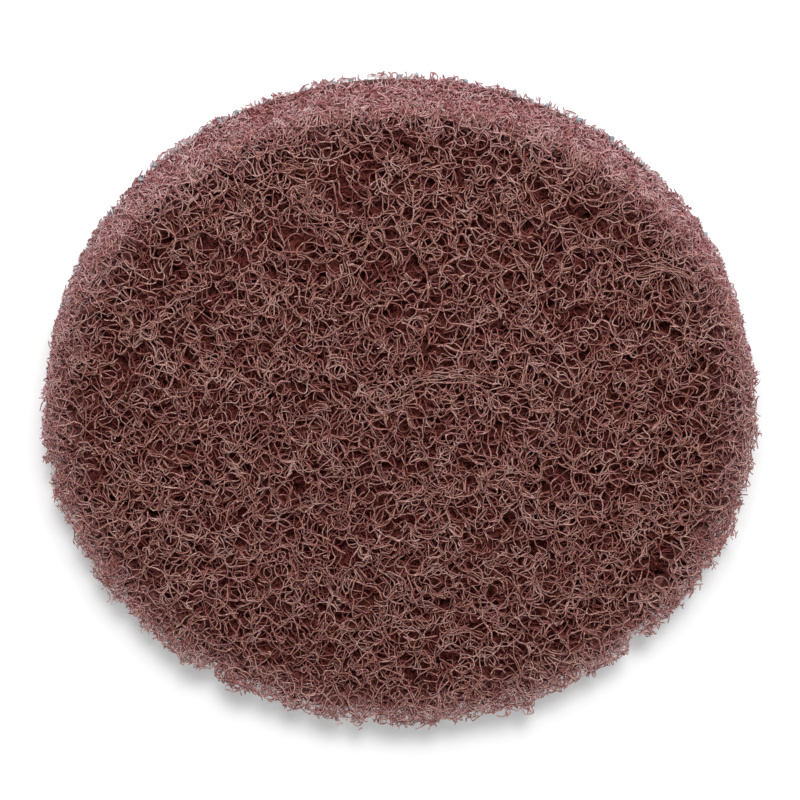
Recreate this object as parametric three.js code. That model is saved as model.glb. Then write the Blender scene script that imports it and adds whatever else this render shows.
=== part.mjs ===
// Surface conditioning disc: a lofty non-woven abrasive web bonded to a thin scrim backing, die-cut round.
// Millimetres, +Z up. The origin is the centre of the backing's underside, and the abrasive face looks up.
import * as THREE from "three";

// Sizes of the disc
const DISC_DIAMETER = 50.8;
const WEB_THICKNESS = 5.725;
const BACKING_THICKNESS = 0.625;
const EDGE_ROUND = 0.8; // radius of the soft edge between face and rim

// Relief of the web: open pores sink between crowns of matted fibre.
const PORE_DEPTH = 2.4; // deepest pore of the face
const RIM_PORE_DEPTH = 0.6; // the die leaves the rim closer and flatter than the face
const CROWN_SINK = 0.5; // most that a crown stands below its neighbours, as a share of the pores' depth
const SWELL_DROP = 0.3; // most that a loose area sinks below a dense one
const SWELL_SPACING = 11.0;
const RELIEF_SPACING = 0.86; // from one crown or pore to the next, the same on a disc of any diameter
const SCATTER = 0.24; // how far a crown or pore strays from its place, as a share of that spacing

const RANDOM_SEED = 17;

const discRadius = DISC_DIAMETER / 2;
const flatRadius = discRadius - EDGE_ROUND;
const webTop = BACKING_THICKNESS + WEB_THICKNESS;
const edgeBottom = webTop - EDGE_ROUND;
const rowsAlong = (length) => Math.max(2, Math.round(length / RELIEF_SPACING));
const faceRings = rowsAlong(flatRadius);
const edgeRows = rowsAlong((EDGE_ROUND * Math.PI) / 2);
const rimRows = rowsAlong(edgeBottom - BACKING_THICKNESS);
const roundSteps = 4 * rowsAlong((DISC_DIAMETER * Math.PI) / 4);

THREE.MathUtils.seededRandom(RANDOM_SEED);
const random = () => THREE.MathUtils.seededRandom();
const spread = (most) => most * (2 * random() - 1);

// Stations down the section of the pad, from the middle of the face over its soft edge to the backing.
// Each has the direction that leads into the web there and the depth of its pores.
function sectionStations() {
  const stations = [];
  for (let ring = 0; ring <= faceRings; ring += 1) {
    const radius = (flatRadius * ring) / faceRings;
    stations.push({ radius, height: webTop, inwards: [0, -1], depth: PORE_DEPTH });
  }
  for (let row = 1; row <= edgeRows; row += 1) {
    const share = row / edgeRows;
    const outward = Math.sin((share * Math.PI) / 2);
    const upward = Math.cos((share * Math.PI) / 2);
    stations.push({
      radius: flatRadius + EDGE_ROUND * outward,
      height: edgeBottom + EDGE_ROUND * upward,
      inwards: [-outward, -upward],
      depth: THREE.MathUtils.lerp(PORE_DEPTH, RIM_PORE_DEPTH, share),
    });
  }
  for (let row = 1; row <= rimRows; row += 1) {
    const height = THREE.MathUtils.lerp(edgeBottom, BACKING_THICKNESS, row / rimRows);
    const depth = row < rimRows ? RIM_PORE_DEPTH : 0;
    stations.push({ radius: discRadius, height, inwards: [-1, 0], depth });
  }
  stations.push({ radius: 0, height: BACKING_THICKNESS, inwards: [0, 1], depth: 0 });
  return stations;
}

// Each station becomes a ring of corners about as far apart as the rings themselves.
function ringsOf(stations) {
  let first = 0;
  return stations.map((station, place) => {
    const around = Math.max(6, Math.round((roundSteps * station.radius) / discRadius));
    const count = station.radius > 0 ? around : 1;
    const ring = { ...station, first, count, shift: (place % 2) / 2 };
    first += count;
    return ring;
  });
}

// Triangles between two neighbouring rings, stepping along whichever ring lags behind
function stitched(upper, lower) {
  const triangles = [];
  const corner = (ring, step) => ring.first + (step % ring.count);
  const reached = (ring, step) => (step + 0.5 + ring.shift) / ring.count;
  const last = (ring) => (ring.count > 1 ? ring.count : 0);
  let above = 0;
  let below = 0;
  while (above < last(upper) || below < last(lower)) {
    const lags = above < last(upper) && reached(upper, above) < reached(lower, below);
    if (below === last(lower) || lags) {
      triangles.push([corner(upper, above), corner(lower, below), corner(upper, above + 1)]);
      above += 1;
    } else {
      triangles.push([corner(upper, above), corner(lower, below), corner(lower, below + 1)]);
      below += 1;
    }
  }
  return triangles;
}

// Pores are corners picked in random order, none beside another, so that crowns run between them all.
function pickPores(triangles, cornerCount) {
  const neighbours = Array.from({ length: cornerCount }, () => new Set());
  for (const [a, b, c] of triangles) {
    neighbours[a].add(b).add(c);
    neighbours[b].add(c).add(a);
    neighbours[c].add(a).add(b);
  }
  const order = neighbours.map((_, corner) => ({ corner, turn: random() }));
  order.sort((one, other) => one.turn - other.turn);
  const pores = new Set();
  for (const { corner } of order) {
    const isFree = [...neighbours[corner]].every((neighbour) => !pores.has(neighbour));
    if (isFree) pores.add(corner);
  }
  return pores;
}

// Low swells of the web, deepest where it is loose
function swellDrop(x, y) {
  const turn = (2 * Math.PI) / SWELL_SPACING;
  const along = Math.sin(turn * x + Math.cos(0.7 * turn * y));
  const across = Math.cos(0.8 * turn * y - 0.5 * turn * x);
  return (SWELL_DROP * (2 + along + across)) / 4;
}

function sinkOf(isPore, depth, x, y) {
  const ownDrop = depth * (isPore ? 0.55 + 0.45 * random() : CROWN_SINK * random() ** 2);
  const share = depth / PORE_DEPTH;
  return share > 0 ? Math.min(depth, ownDrop + share * swellDrop(x, y)) : 0;
}

// The web is one closed skin: face, soft edge, cut rim and the flat side bonded to the backing.
function webGeometry() {
  const rings = ringsOf(sectionStations());
  const triangles = rings.slice(1).flatMap((ring, above) => stitched(rings[above], ring));
  const cornerCount = rings.reduce((total, ring) => total + ring.count, 0);
  const pores = pickPores(triangles, cornerCount);
  const positions = [];
  for (const ring of rings) {
    const stray = ring.depth > 0 ? SCATTER * RELIEF_SPACING : 0;
    for (let step = 0; step < ring.count; step += 1) {
      const turn = (2 * Math.PI * (step + ring.shift)) / ring.count;
      const angle = turn + spread(stray) / Math.max(ring.radius, RELIEF_SPACING);
      const flatX = ring.radius * Math.cos(angle);
      const flatY = ring.radius * Math.sin(angle);
      const sink = sinkOf(pores.has(ring.first + step), ring.depth, flatX, flatY);
      const radius = ring.radius + ring.inwards[0] * sink - ring.inwards[1] * spread(stray);
      const height = ring.height + ring.inwards[1] * sink;
      positions.push(radius * Math.cos(angle), radius * Math.sin(angle), height);
    }
  }
  const geometry = new THREE.BufferGeometry();
  geometry.setAttribute("position", new THREE.Float32BufferAttribute(positions, 3));
  geometry.setIndex(triangles.flat());
  geometry.computeVertexNormals();
  return geometry;
}

function backingGeometry() {
  const section = [
    new THREE.Vector2(0, 0),
    new THREE.Vector2(discRadius, 0),
    new THREE.Vector2(discRadius, BACKING_THICKNESS),
    new THREE.Vector2(0, BACKING_THICKNESS),
  ];
  return new THREE.LatheGeometry(section, roundSteps).rotateX(Math.PI / 2);
}

function namedMesh(name, geometry, look) {
  const mesh = new THREE.Mesh(geometry, new THREE.MeshStandardMaterial(look));
  mesh.name = name;
  return mesh;
}

const disc = new THREE.Group();
disc.name = "surface_conditioning_disc";
disc.add(
  namedMesh("abrasive_web", webGeometry(), { color: 0x6f4640, roughness: 0.85, flatShading: true }),
  namedMesh("backing_scrim", backingGeometry(), { color: 0x8d979d, roughness: 0.9 }),
);

export default disc;
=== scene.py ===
import math
import bmesh
import bpy
import numpy as np
from mathutils import Matrix, Vector, noise


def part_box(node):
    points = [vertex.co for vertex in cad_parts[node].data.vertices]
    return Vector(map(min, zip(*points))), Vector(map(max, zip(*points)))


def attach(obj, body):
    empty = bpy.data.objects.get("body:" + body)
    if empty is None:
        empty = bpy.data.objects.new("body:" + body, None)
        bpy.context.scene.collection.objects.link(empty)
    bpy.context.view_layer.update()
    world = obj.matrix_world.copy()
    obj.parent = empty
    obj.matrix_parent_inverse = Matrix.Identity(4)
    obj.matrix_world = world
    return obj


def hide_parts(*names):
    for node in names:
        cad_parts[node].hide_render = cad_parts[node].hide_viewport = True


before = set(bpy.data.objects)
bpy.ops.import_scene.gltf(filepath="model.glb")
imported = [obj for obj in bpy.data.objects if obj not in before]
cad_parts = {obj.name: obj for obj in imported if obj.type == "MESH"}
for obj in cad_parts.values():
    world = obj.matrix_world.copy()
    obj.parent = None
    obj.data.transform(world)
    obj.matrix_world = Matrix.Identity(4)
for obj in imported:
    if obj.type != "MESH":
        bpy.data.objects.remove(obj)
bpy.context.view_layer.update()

# Camera. The disc lies on its backing, and the lens looks down on the face from the near side, rolled half
# a turn so that the near rim is at the top of the picture, as in the photograph.
web_low, web_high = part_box("abrasive_web")
RIM_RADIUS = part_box("backing_scrim")[1].x
FACE_HEIGHT = web_high.z
VIEW_ELEVATION = math.radians(60.3)
VIEW_DISTANCE = 12 * RIM_RADIUS
PICTURE_WIDTH = 2.261 * RIM_RADIUS  # width of the picture at the face's middle
FACE_BELOW_MIDDLE = 0.0904 * RIM_RADIUS  # the face's middle sits this far under the picture's middle
SENSOR_WIDTH = 36  # millimetres

face_middle = Vector((0, 0, FACE_HEIGHT))
towards_lens = Vector((0, -math.cos(VIEW_ELEVATION), math.sin(VIEW_ELEVATION)))
picture_up = Vector((0, -math.sin(VIEW_ELEVATION), -math.cos(VIEW_ELEVATION)))
lens_place = face_middle + towards_lens * VIEW_DISTANCE
backwards = (lens_place - face_middle - picture_up * FACE_BELOW_MIDDLE).normalized()
rightwards = picture_up.cross(backwards).normalized()
upwards = backwards.cross(rightwards)

camera_data = bpy.data.cameras.new("camera")
camera_data.sensor_width = SENSOR_WIDTH
camera_data.lens = SENSOR_WIDTH * VIEW_DISTANCE / PICTURE_WIDTH
camera_data.clip_start = 0.01
camera = bpy.data.objects.new("camera", camera_data)
turn = Matrix((rightwards, upwards, backwards)).transposed().to_4x4()
camera.matrix_world = Matrix.Translation(lens_place) @ turn
bpy.context.collection.objects.link(camera)
bpy.context.scene.camera = camera


# Backing. A thin scrim of blue-grey yarn in a plain weave, set in a resin film that bonds it to the web.
# The yarns show on the underside, and their cut ends make the thin line under the rim.
MM = 0.001
WEB_BOTTOM = web_low.z
YARN_PITCH = 1.15 * MM
YARN_DIAMETER = 0.3 * MM
YARN_SIDES = 4
YARN_WAVE = 0.14 * MM
FILM_BOTTOM = 0.22 * MM
FILM_INSET = 0.3 * MM
FILM_SIDES = 160
FILM_EDGE = 0.08 * MM
OUTERMOST_YARN = 0.97 * RIM_RADIUS  # further out a yarn would be a short scrap
YARN_ENDS = (-0.12 * MM, 0.45 * MM)  # how far inside the rim a yarn may end
BACKING_BLUE_GREY = (0.215, 0.275, 0.315)
BACKING_PALE = (0.42, 0.47, 0.50)
FILM_DARK = (0.055, 0.014, 0.012)
FILM_BROWN = (0.13, 0.045, 0.04)


class Wire:
    """One output in a material's node tree, so that shader maths reads as plain expressions."""

    def __init__(self, tree, socket=None):
        self.tree = tree
        self.socket = socket

    def node(self, kind, settings, inputs, output=0):
        """Any node: its settings are set first, then the values or links of its sockets."""
        made = self.tree.nodes.new(kind)
        for name, value in settings.items():
            setattr(made, name, value)
        for name, value in inputs.items():
            if isinstance(value, Wire):
                self.tree.links.new(value.socket, made.inputs[name])
            elif made.inputs[name].type == "RGBA":
                made.inputs[name].default_value = (*value, 1)
            else:
                made.inputs[name].default_value = value
        return Wire(self.tree, made.outputs[output])

    def math(self, operation, other=0.0):
        return self.node("ShaderNodeMath", {"operation": operation}, {0: self, 1: other})

    def __add__(self, other):
        return self.math("ADD", other)

    def __sub__(self, other):
        return self.math("SUBTRACT", other)

    def __rsub__(self, other):
        return self.node("ShaderNodeMath", {"operation": "SUBTRACT"}, {0: other, 1: self})

    def __mul__(self, other):
        return self.math("MULTIPLY", other)

    __radd__ = __add__
    __rmul__ = __mul__

    def rise(self, start, end):
        """0 below start, 1 above end and smooth between them."""
        limits = {"Value": self, "From Min": start, "From Max": end}
        return self.node("ShaderNodeMapRange", {"interpolation_type": "SMOOTHSTEP"}, limits)

    def blend(self, low, high):
        """The colour low where this is 0 and high where it is 1."""
        settings = {"data_type": "RGBA", "clamp_factor": True}
        return self.node("ShaderNodeMix", settings, {0: self, 6: low, 7: high}, output=2)

    def noise(self, size, detail=2.0, roughness=0.5):
        """Cloudy noise from 0 to 1 with lumps of about this size, in metres, where this is a place."""
        inputs = {"Vector": self, "Scale": 1 / size, "Detail": detail, "Roughness": roughness}
        return self.node("ShaderNodeTexNoise", {}, inputs)


def new_finish(name, **constants):
    """A material with its main shader's constant values set, that shader, and the place on the piece."""
    material = bpy.data.materials.new(name)
    material.use_nodes = True
    shader = material.node_tree.nodes["Principled BSDF"]
    for socket, value in constants.items():
        shader.inputs[socket.replace("_", " ")].default_value = value
    place = Wire(material.node_tree).node("ShaderNodeTexCoord", {}, {}, output="Object")
    return material, shader, place


def feed(shader, socket, wire):
    wire.tree.links.new(wire.socket, shader.inputs[socket])


def feed_bump(shader, height, strength, distance):
    inputs = {"Strength": strength, "Distance": distance, "Height": height}
    feed(shader, "Normal", height.node("ShaderNodeBump", {}, inputs, "Normal"))


def add_piece(name, mesh, material):
    mesh.materials.clear()
    mesh.materials.append(material)
    piece = bpy.data.objects.new(name, mesh)
    bpy.context.collection.objects.link(piece)
    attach(piece, "root")
    return piece


def map_each_face(mesh):
    """Gives each face a square of its own on the map, as thousands of strands can't be unfolded."""
    squares = math.ceil(math.sqrt(len(mesh.polygons)))
    first = np.empty(len(mesh.polygons), int)
    mesh.polygons.foreach_get("loop_start", first)
    face = np.searchsorted(first, np.arange(len(mesh.loops)), "right") - 1
    corner = np.array([(0, 0), (1, 0), (1, 1), (0, 1)])[np.arange(len(mesh.loops)) - first[face]]
    places = (np.column_stack([face % squares, face // squares]) + corner) / squares
    mesh.uv_layers.new(name="OFBake").data.foreach_set("uv", places.ravel())


def strands_mesh(name, paths, diameter, sides, swells):
    """One mesh of closed strands along these paths. swells holds each path's thickness along its length."""
    profile_data = bpy.data.curves.new("profile", "CURVE")
    corners = profile_data.splines.new("POLY")
    corners.points.add(sides - 1)
    corners.use_cyclic_u = True
    for i, corner in enumerate(corners.points):
        angle = 2 * math.pi * i / sides
        corner.co = (diameter / 2 * math.cos(angle), diameter / 2 * math.sin(angle), 0, 1)
    profile = bpy.data.objects.new("profile", profile_data)
    curve = bpy.data.curves.new(name, "CURVE")
    curve.dimensions = "3D"
    curve.bevel_mode = "OBJECT"
    curve.bevel_object = profile
    curve.use_fill_caps = True
    for path, swell in zip(paths, swells):
        spline = curve.splines.new("POLY")
        spline.points.add(len(path) - 1)
        spline.points.foreach_set("co", np.hstack([path, np.ones((len(path), 1))]).ravel())
        spline.points.foreach_set("radius", swell)
    holder = bpy.data.objects.new(name, curve)
    bpy.context.collection.objects.link(profile)
    bpy.context.collection.objects.link(holder)
    graph = bpy.context.evaluated_depsgraph_get()
    mesh = bpy.data.meshes.new_from_object(holder.evaluated_get(graph))
    for done in (holder, profile):
        bpy.data.objects.remove(done)
    mesh.polygons.foreach_set("use_smooth", [True] * len(mesh.polygons))
    mesh.name = name
    map_each_face(mesh)
    return mesh


def scrim_yarn(row, first_over):
    """A yarn along Y that goes over and under the yarns it crosses, each end cut a little differently."""
    across = row * YARN_PITCH
    near, far = np.sqrt((RIM_RADIUS - rng.uniform(*YARN_ENDS, 2)) ** 2 - across**2)
    steps = np.arange(-int(near / YARN_PITCH), int(far / YARN_PITCH) + 1)
    along = np.concatenate([[-near], steps * YARN_PITCH, [far]])
    lift = np.concatenate([[0], np.where((steps + row + first_over) % 2, -1, 1), [0]])
    height = YARN_DIAMETER / 2 + YARN_WAVE * (1 + lift)
    return np.column_stack([np.full(len(along), across), along, height])


rng = np.random.default_rng(4021)
outermost = int(OUTERMOST_YARN / YARN_PITCH)
yarns = []
for row in range(-outermost, outermost + 1):
    yarns.append(scrim_yarn(row, 0))
    yarns.append(scrim_yarn(row, 1)[:, [1, 0, 2]])

backing_finish, backing_shader, place = new_finish("backing_yarn", Roughness=0.8)
fleck = place.noise(0.35 * MM, 4.0, 0.65).rise(0.42, 0.72)
feed(backing_shader, "Base Color", fleck.blend(BACKING_BLUE_GREY, BACKING_PALE))
feed_bump(backing_shader, place.noise(0.06 * MM, 2.0), 0.5, 0.03 * MM)

even = [np.ones(len(yarn)) for yarn in yarns]
yarn_mesh = strands_mesh("scrim_yarns", yarns, YARN_DIAMETER, YARN_SIDES, even)
add_piece("scrim_yarns", yarn_mesh, backing_finish)

film = bmesh.new()
film_radius = RIM_RADIUS - FILM_INSET
film_middle = Matrix.Translation((0, 0, (WEB_BOTTOM + FILM_BOTTOM) / 2))
bmesh.ops.create_cone(
    film, cap_ends=True, segments=FILM_SIDES, radius1=film_radius, radius2=film_radius,
    depth=WEB_BOTTOM - FILM_BOTTOM, matrix=film_middle,
)
sharp_edges = [edge for edge in film.edges if edge.calc_face_angle(0) > 1]
bmesh.ops.bevel(
    film, geom=sharp_edges, offset=FILM_EDGE, affect="EDGES", segments=2, profile=0.5, material=-1
)
film_mesh = bpy.data.meshes.new("scrim_film")
film.to_mesh(film_mesh)
film.free()

film_finish, film_shader, place = new_finish("backing_film", Roughness=0.6)
patch = place.noise(1.2 * MM, 3.0).rise(0.35, 0.7)
feed(film_shader, "Base Color", patch.blend(FILM_DARK, FILM_BROWN))
feed_bump(film_shader, place.noise(0.25 * MM, 3.0), 0.6, 0.06 * MM)
scrim_film = add_piece("scrim_film", film_mesh, film_finish)
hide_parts("backing_scrim")


# Depth of the web. Under the loose outer fibres the nylon is matted and full of resin, and only a dark red
# shows through the pores. It is one pad with the pores and crowns of the CAD web, drawn in from face and rim.
# Its colour is painted shade: near black between its ridges and darker away from the rim, and paler near the
# rim as painted light at the edge.
MAT_UNDER_FACE = 1.4 * MM
MAT_INSIDE_RIM = 0.5 * MM
MAT_LUMP = 0.12 * MM  # most that a lump stands up or sinks
MAT_LUMP_SIZE = 0.5 * MM
MAT_EDGE = 3 * MM  # towards the rim the pad comes nearer to the face over this width
MAT_EDGE_LIFT = 0.9 * MM
# Colours of the pad, painted shade: near black in its gaps and darker away from the rim, with its ridges near
# the rim painted lighter.
DEEP_GAP_PAINTED_SHADE = (0.024, 0.004, 0.003)
DEEP_RIDGE_PAINTED_SHADE = (0.14, 0.036, 0.031)
OUTER_GAP_PAINTED_SHADE = (0.085, 0.024, 0.022)
OUTER_RIDGE_PAINTED_LIGHT = (0.36, 0.16, 0.145)


def depths(place):
    """How far under the face and how far inside the rim a place is."""
    x, y, z = (place.node("ShaderNodeSeparateXYZ", {}, {0: place}, axis) for axis in "XYZ")
    return FACE_HEIGHT - z, RIM_RADIUS - (x * x + y * y).math("SQRT")


def ridges(place, size, sharpness):
    """Thin winding ridges like matted fibres, where a cloud of noise passes through its middle."""
    off_middle = (place.noise(size, 1.0) - 0.5).math("ABSOLUTE")
    return (1 - off_middle * sharpness).math("MAXIMUM")


mat = bmesh.new()
mat.from_mesh(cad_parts["abrasive_web"].data)
bmesh.ops.remove_doubles(mat, verts=mat.verts[:], dist=0.001 * MM)
bmesh.ops.recalc_face_normals(mat, faces=mat.faces[:])
bmesh.ops.subdivide_edges(mat, edges=mat.edges[:], cuts=1, use_grid_fill=True, smooth=0.6)
draw_in = (RIM_RADIUS - MAT_INSIDE_RIM) / RIM_RADIUS
draw_down = (FACE_HEIGHT - MAT_UNDER_FACE - WEB_BOTTOM) / (FACE_HEIGHT - WEB_BOTTOM)
for vertex in mat.verts:
    lump = MAT_LUMP * noise.noise(vertex.co / MAT_LUMP_SIZE)
    height = (vertex.co.z - WEB_BOTTOM) * draw_down + lump
    into_edge = max(0, 1 - (RIM_RADIUS - vertex.co.xy.length) / MAT_EDGE)
    height += MAT_EDGE_LIFT * into_edge * height / (FACE_HEIGHT - WEB_BOTTOM)
    vertex.co = (vertex.co.x * draw_in, vertex.co.y * draw_in, WEB_BOTTOM + max(height, 0))
mat_mesh = bpy.data.meshes.new("web_mat")
mat.to_mesh(mat_mesh)
mat.free()
mat_mesh.polygons.foreach_set("use_smooth", [True] * len(mat_mesh.polygons))

mat_finish, mat_shader, place = new_finish("matted_fibre_painted_shade", Roughness=0.75, Specular_IOR_Level=0.0)
coarse = ridges(place, 0.55 * MM, 11)
fine = ridges(place, 0.36 * MM, 8)
ridge = coarse.math("MAXIMUM", fine * 0.8)
_, inside_rim = depths(place)
# Painted shade: darker further inside the rim and near black between the ridges, paler near the rim as
# painted light.
painted_shade_inward = inside_rim.rise(0.4 * MM, 3.0 * MM)
colour = painted_shade_inward.blend(ridge.blend(OUTER_GAP_PAINTED_SHADE, OUTER_RIDGE_PAINTED_LIGHT), ridge.blend(DEEP_GAP_PAINTED_SHADE, DEEP_RIDGE_PAINTED_SHADE))
feed(mat_shader, "Base Color", colour)
feed_bump(mat_shader, ridge, 0.9, 0.15 * MM)
web_mat = add_piece("web_mat", mat_mesh, mat_finish)
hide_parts("abrasive_web")


# Fibres of the face. Crimped nylon staple, coated with resin and fine abrasive, curls through the outer web
# in every direction. The die cuts it off at the rim, and the ends there stand out as a short fringe.
FIBRE_DIAMETER = 0.1 * MM
FIBRE_SIDES = 3
FACE_FIBRE_RUN = 9 * MM
CURL = 2.4 / MM  # mean turn of a fibre, in radians
BEND_LENGTH = 0.5 * MM  # a bend keeps its direction over about this length
LEVELLING = 0.6 / MM**2  # how strongly a fibre is drawn back to its own layer
ROOTS_BEYOND = 5 * MM  # fibres that start outside the cut run into the disc as well
FACE_SWELL = 0.07 * MM
EDGE_SOFTNESS = 0.4 * MM
PORE_SIZE = 1.1 * MM
GATHER = 0.18 * MM  # how far fibres are drawn out of a pore
GOLDEN_ANGLE = math.pi * (3 - math.sqrt(5))
FIBRE_LAY = (1.0, 1.2, 0.6)  # how far fibres run along X, Y and Z for the same turns
# Each layer of the face: its name, its least and most depth, its fibres and the length of their steps.
FACE_LAYERS = (
    ("face_fibres_upper", 0.0 * MM, 0.6 * MM, 1400, 0.27 * MM),
    ("face_fibres_middle", 0.4 * MM, 1.2 * MM, 1450, 0.28 * MM),
    ("face_fibres_lower", 1.0 * MM, 1.8 * MM, 1500, 0.32 * MM),
)
# Frays of the cut edge: direction and half width in degrees, then how far the fringe stands out or in.
FRAYS = ((134, 1.4, -0.8), (93, 4, 0.4), (110, 4, 0.5), (160, 8, 0.3), (180, 2, 0.35), (5, 7, 0.2))
RAGGEDNESS = 0.13 * MM
RAGGED_WAVES = (23, 37, 61, 89, 113)  # round the rim
STRAY_ENDS = 0.2 * MM
CUT_ALLOWANCE = 0.2 * MM
LEAST_POINTS = 3  # a shorter scrap falls out
UNEVENNESS = 0.12  # of a fibre's thickness
BEAD_SWELL = 0.5  # more thickness at a bead of resin
BEAD_SHARE = 0.06


def face_top(x, y):
    """Height of the face, with its low swells and its softly rounded edge."""
    radius = np.hypot(x, y)
    swell = np.sin(x / (2.1 * MM) + np.cos(y / (2.6 * MM))) + np.cos(y / (1.9 * MM) - x / (3.7 * MM))
    into_edge = np.clip((radius - RIM_RADIUS + EDGE_SOFTNESS) / EDGE_SOFTNESS, 0, 1)
    return FACE_HEIGHT + FACE_SWELL * (swell - 2) - EDGE_SOFTNESS * (1 - np.sqrt(1 - into_edge**2))


def fringe_radius(x, y, z, stray):
    """Where the fringe ends: ragged and frayed along the face, and cut clean along the backing."""
    direction = np.arctan2(y, x)
    stand = np.full_like(direction, stray)
    for middle, half_width, most in FRAYS:
        off = (np.degrees(direction) - middle + 180) % 360 - 180
        stand += most * MM * np.exp(-((off / half_width) ** 2))
    for waves in RAGGED_WAVES:
        stand += RAGGEDNESS * np.sin(waves * direction + waves**2)
    return RIM_RADIUS + CUT_ALLOWANCE + stand * np.clip(z / FACE_HEIGHT, 0, 1)


def spread_roots(count, least_radius, most_radius, low, high):
    """Points evenly through a ring, from its low to its high side."""
    share = (np.arange(count) + 0.5) / count
    radius = np.sqrt(least_radius**2 + (most_radius**2 - least_radius**2) * share)
    around = np.arange(count) * GOLDEN_ANGLE
    height = low + (high - low) * (np.arange(count) * math.sqrt(2) % 1)
    return np.column_stack([radius * np.cos(around), radius * np.sin(around), height])


def curled_paths(roots, run, step):
    """Centre lines of fibres that keep turning by a bend that itself drifts, so that loops come and go."""
    place = roots.copy()
    ahead = rng.standard_normal(roots.shape)
    bend = rng.standard_normal(roots.shape)
    keep = math.exp(-step / BEND_LENGTH)
    courses = []
    for _ in range(int(run / step)):
        ahead[:, 2] -= LEVELLING * step * (place[:, 2] - roots[:, 2])
        ahead /= np.linalg.norm(ahead, axis=1, keepdims=True)
        courses.append(place.copy())
        place += ahead * FIBRE_LAY * step
        bend = keep * bend + math.sqrt(1 - keep**2) * rng.standard_normal(roots.shape)
        ahead += CURL * step * bend
    return np.stack(courses, 1)


def gathered(courses):
    """The courses drawn together into walls between open pores, to where a cloud of noise is near zero."""
    reach = 0.1  # from a place to the next ones that give the slope of the cloud, in pores
    level = 0.4  # height of the cut through the cloud
    cloud = []
    for x, y, _ in courses.reshape(-1, 3) / PORE_SIZE:
        here = noise.noise((x, y, level))
        cloud.append([here, noise.noise((x + reach, y, level)), noise.noise((x, y + reach, level))])
    cloud = np.array(cloud)
    middle = cloud[:, :1]
    shift = -GATHER * 2 * middle * (cloud[:, 1:] - middle) / reach
    return courses + np.hstack([shift, np.zeros_like(middle)]).reshape(courses.shape)


def die_cut(courses, lowest):
    """Pieces of the courses that lie within the disc, each cut a little differently at the rim."""
    pieces = []
    for course in courses:
        x, y, z = course.T
        ceiling = face_top(x, y) - FIBRE_DIAMETER / 2
        z = ceiling - np.abs(ceiling - z)
        z = np.minimum(lowest + np.abs(z - lowest), ceiling)
        inside = np.hypot(x, y) < fringe_radius(x, y, z, STRAY_ENDS * rng.standard_normal())
        edges = np.flatnonzero(np.diff(np.concatenate([[0], inside, [0]])))
        for start, end in edges.reshape(-1, 2):
            if end - start >= LEAST_POINTS:
                pieces.append(np.column_stack([x, y, z])[start:end])
    return pieces


def resin_swells(paths):
    """Thickness along each path: a little uneven, with a bead of resin here and there."""
    swells = []
    for path in paths:
        beads = rng.random(len(path)) < BEAD_SHARE
        thickness = 1 + UNEVENNESS * rng.standard_normal(len(path)) + BEAD_SWELL * beads
        swells.append(np.clip(thickness, 0.7, 1.6))
    return swells


# Resin-coated nylon. Its colour holds painted light and shade. A darker, deeper red further under the face
# and inside the rim is painted shade. Paler dusting with abrasive shows only on exposed fibres, so it is
# partly real and partly painted light. Pale specks are partly abrasive grit and partly painted glints. Near
# the rim, the pale cut-end colours reach into the face and are partly painted light along the edge.
FIBRE_PAINTED_SHADE = (0.19, 0.043, 0.038)
FIBRE_BARE = (0.20, 0.068, 0.056)
FIBRE_BROWN = (0.34, 0.148, 0.122)
FIBRE_DUST_AND_HIGHLIGHT = (0.66, 0.46, 0.41)
RIM_CRIMSON = (0.31, 0.07, 0.088)
RIM_PALE = (0.6, 0.41, 0.425)

fibre_finish, fibre_shader, place = new_finish(
    "resin_coated_nylon_painted_light", Specular_IOR_Level=0.1, Coat_Roughness=0.3
)
under_face, inside_rim = depths(place)
# Painted shade: how far a place lies under the face or inside the rim sets how dark and red its fibres are
# painted.
painted_shade_depth = under_face.math("MINIMUM", inside_rim).rise(0.05 * MM, 1.9 * MM)
coated = place.noise(0.45 * MM, 2.0).rise(0.36, 0.6)
# Paler dusting with abrasive, kept to exposed fibres below, so it is partly real and partly painted light on
# top.
dust_and_painted_light = place.noise(1.4 * MM, 3.0, 0.6).rise(0.4, 0.75) * 0.4
# Pale specks: partly abrasive grit, partly painted glints.
grain_and_painted_glint = place.noise(0.12 * MM, 1.0).rise(0.58, 0.7) * 0.85
rim_depth = under_face.rise(0.0, 1.8 * MM) * 0.6 + 0.25
# Pale cut-end colours within 3.2 mm of the rim, partly painted light along the face's edge.
at_rim_and_edge_light = (1 - inside_rim.rise(0.0, 3.2 * MM)) * rim_depth
rim_patches = place.noise(1.6 * MM, 1.0).rise(0.36, 0.6) * 0.65 + 0.35
# Painted shade: fibres darker and redder the further under the face or inside the rim they lie.
colour = painted_shade_depth.blend(coated.blend(FIBRE_BARE, FIBRE_BROWN), FIBRE_PAINTED_SHADE)
# Paler dusting on exposed fibres: partly real, partly painted light.
colour = (dust_and_painted_light * (1 - painted_shade_depth)).blend(colour, FIBRE_DUST_AND_HIGHLIGHT)
# Cut-end colours near the rim, partly painted light along the edge.
colour = at_rim_and_edge_light.blend(colour, (coated * rim_patches).blend(RIM_CRIMSON, RIM_PALE))
# Pale specks on exposed fibres: partly grit, partly painted glints.
colour = (grain_and_painted_glint * (1 - painted_shade_depth)).blend(colour, FIBRE_DUST_AND_HIGHLIGHT)
feed(fibre_shader, "Base Color", colour)
feed(fibre_shader, "Roughness", 0.4 + place.noise(0.2 * MM).rise(0.3, 0.7) * 0.3)
feed(fibre_shader, "Coat Weight", (1 - painted_shade_depth) * place.noise(0.25 * MM).rise(0.35, 0.7))

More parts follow.
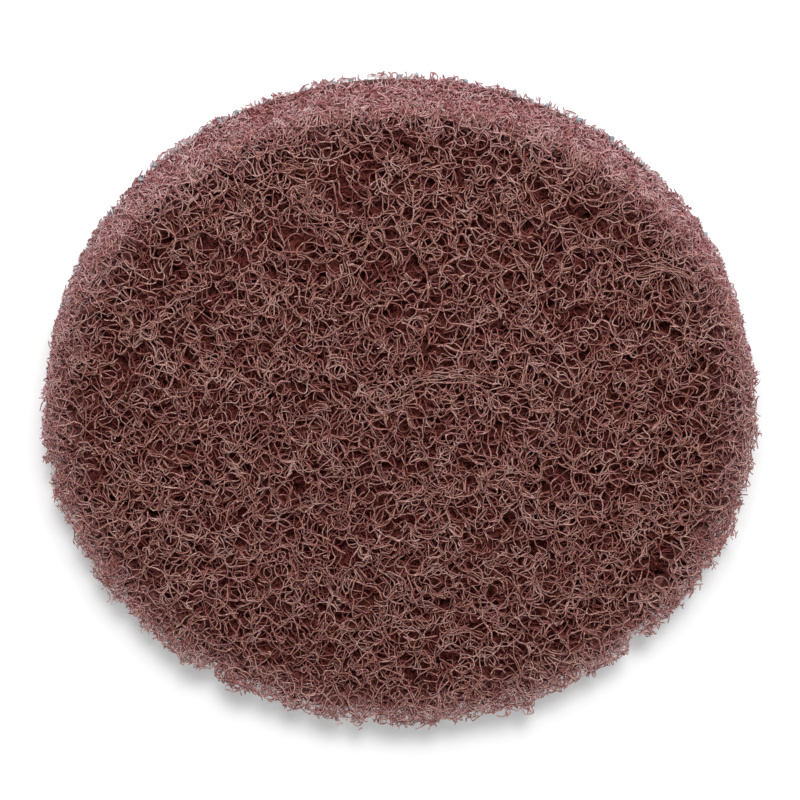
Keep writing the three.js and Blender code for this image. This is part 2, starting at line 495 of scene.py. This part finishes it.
for name, least_depth, most_depth, count, step in FACE_LAYERS:
    low, high = FACE_HEIGHT - most_depth, FACE_HEIGHT - least_depth
    roots = spread_roots(count, 0, RIM_RADIUS + ROOTS_BEYOND, low, high)
    courses = gathered(curled_paths(roots, FACE_FIBRE_RUN, step))
    paths = die_cut(courses, WEB_BOTTOM + FIBRE_DIAMETER)
    mesh = strands_mesh(name, paths, FIBRE_DIAMETER, FIBRE_SIDES, resin_swells(paths))
    add_piece(name, mesh, fibre_finish)


# Locks. Here and there some fibres stay combed together as they came off the card, and the lock lies in
# an arc just under the face. The largest one is near the rim.
LOCK_FIBRES = 10
LOCK_POINTS = 24
LOCK_HALF_WIDTH = 0.55 * MM
LOCK_DEPTH = (1, 7)  # under the face, in thicknesses of a fibre
LOCK_WAVE = 0.2 * MM
LOCK_TURNS = (6, 16)  # radians of wave along a fibre
END_SCATTER = 10  # degrees
END_SINK = 0.5 * MM  # the ends of a lock dip into the web
# Each lock: middle and radius of its arc in millimetres, then the directions of its ends in degrees.
LOCKS = ((-18.0, -10.5, 2.7, -58, -174), (-3.6, -0.2, 4.2, -55, -128))


def lock_fibre(middle_x, middle_y, radius, first, last):
    """One fibre of a lock, a little apart from its neighbours and waving on its own."""
    share = np.linspace(0, 1, LOCK_POINTS)
    start, end = (first, last) + END_SCATTER * rng.standard_normal(2)
    direction = np.radians(start + (end - start) * share)
    wave = LOCK_WAVE * np.sin(share * rng.uniform(*LOCK_TURNS) + rng.uniform(0, 6))
    reach = radius * MM + LOCK_HALF_WIDTH * rng.uniform(-1, 1) + wave
    x = middle_x * MM + reach * np.cos(direction)
    y = middle_y * MM + reach * np.sin(direction)
    sink = rng.uniform(*LOCK_DEPTH) * FIBRE_DIAMETER + END_SINK * (2 * share - 1) ** 6
    return np.column_stack([x, y, FACE_HEIGHT - sink])


paths = [lock_fibre(*lock) for lock in LOCKS for _ in range(LOCK_FIBRES)]
mesh = strands_mesh("face_locks", paths, FIBRE_DIAMETER, FIBRE_SIDES, resin_swells(paths))
add_piece("face_locks", mesh, fibre_finish)


# Fibres of the rim. The die leaves a dense band of short curled lengths and cut ends, paler than the face
# because their cut nylon shows through the resin. They hang over the edge of the backing.
RIM_FIBRES = 7400
RIM_FIBRE_RUN = 1.9 * MM
RIM_FIBRE_STEP = 0.26 * MM
RIM_FIBRE_DIAMETER = 0.09 * MM
RIM_DEPTH = 0.9 * MM
RIM_TOP = FACE_HEIGHT - 0.2 * MM
RIM_BEYOND = 0.7 * MM  # fibres that start outside the cut leave their ends at the rim

for name in ("rim_fibres_first", "rim_fibres_second"):
    roots = spread_roots(RIM_FIBRES, RIM_RADIUS - RIM_DEPTH, RIM_RADIUS + RIM_BEYOND, 0, RIM_TOP)
    courses = curled_paths(roots, RIM_FIBRE_RUN, RIM_FIBRE_STEP)
    paths = die_cut(courses, RIM_FIBRE_DIAMETER)
    mesh = strands_mesh(name, paths, RIM_FIBRE_DIAMETER, FIBRE_SIDES, resin_swells(paths))
    add_piece(name, mesh, fibre_finish)


# Floor and light. A white table in an even white room, under two soft lamps from the near side. One of them
# stands close, so that the near edge is the brightest, and a short grey shadow falls behind the disc.
FLOOR_HALF_WIDTH = 1.5
FLOOR_DROP = 0.02 * MM
FLOOR_WHITE = (0.9, 0.9, 0.9, 1)
FLOOR_GLOW = (0.14, 0.14, 0.14)
LAMP_ELEVATION = math.radians(47.5)
NEAR_LAMP_DISTANCE = 0.16

floor = bmesh.new()
floor_place = Matrix.Translation((0, 0, -FLOOR_DROP))
bmesh.ops.create_grid(floor, x_segments=1, y_segments=1, size=FLOOR_HALF_WIDTH, matrix=floor_place)
floor_mesh = bpy.data.meshes.new("floor")
floor.to_mesh(floor_mesh)
floor.free()
floor_piece = bpy.data.objects.new("floor", floor_mesh)
bpy.context.collection.objects.link(floor_piece)

floor_finish, floor_shader, place = new_finish(
    "white_table", Base_Color=FLOOR_WHITE, Roughness=0.9, Specular_IOR_Level=0.0, Emission_Strength=1.0
)
seen = place.node("ShaderNodeLightPath", {}, {}, "Is Camera Ray")
for ray in ("Is Glossy Ray", "Is Transmission Ray"):
    seen = seen.math("MAXIMUM", place.node("ShaderNodeLightPath", {}, {}, ray))
feed(floor_shader, "Emission Color", seen.blend((0, 0, 0), FLOOR_GLOW))
floor_mesh.materials.append(floor_finish)

lamp_from = Vector((-0.04, -math.cos(LAMP_ELEVATION), math.sin(LAMP_ELEVATION)))
broad_light = bpy.data.lights.new("broad_lamp", "SUN")
broad_light.energy = 2.05
broad_light.angle = math.radians(10)
near_light = bpy.data.lights.new("near_lamp", "AREA")
near_light.energy = 0.115
near_light.size = 0.04
for light in (broad_light, near_light):
    lamp = bpy.data.objects.new(light.name, light)
    lamp.location = lamp_from * NEAR_LAMP_DISTANCE
    lamp.rotation_euler = lamp_from.to_track_quat("Z", "Y").to_euler()
    bpy.context.collection.objects.link(lamp)

room = bpy.data.worlds.new("room")
room.use_nodes = True
room.node_tree.nodes["Background"].inputs["Color"].default_value = (1, 1, 1, 1)
room.node_tree.nodes["Background"].inputs["Strength"].default_value = 0.38
bpy.context.scene.world = room
bpy.context.scene.view_settings.view_transform = "Standard"
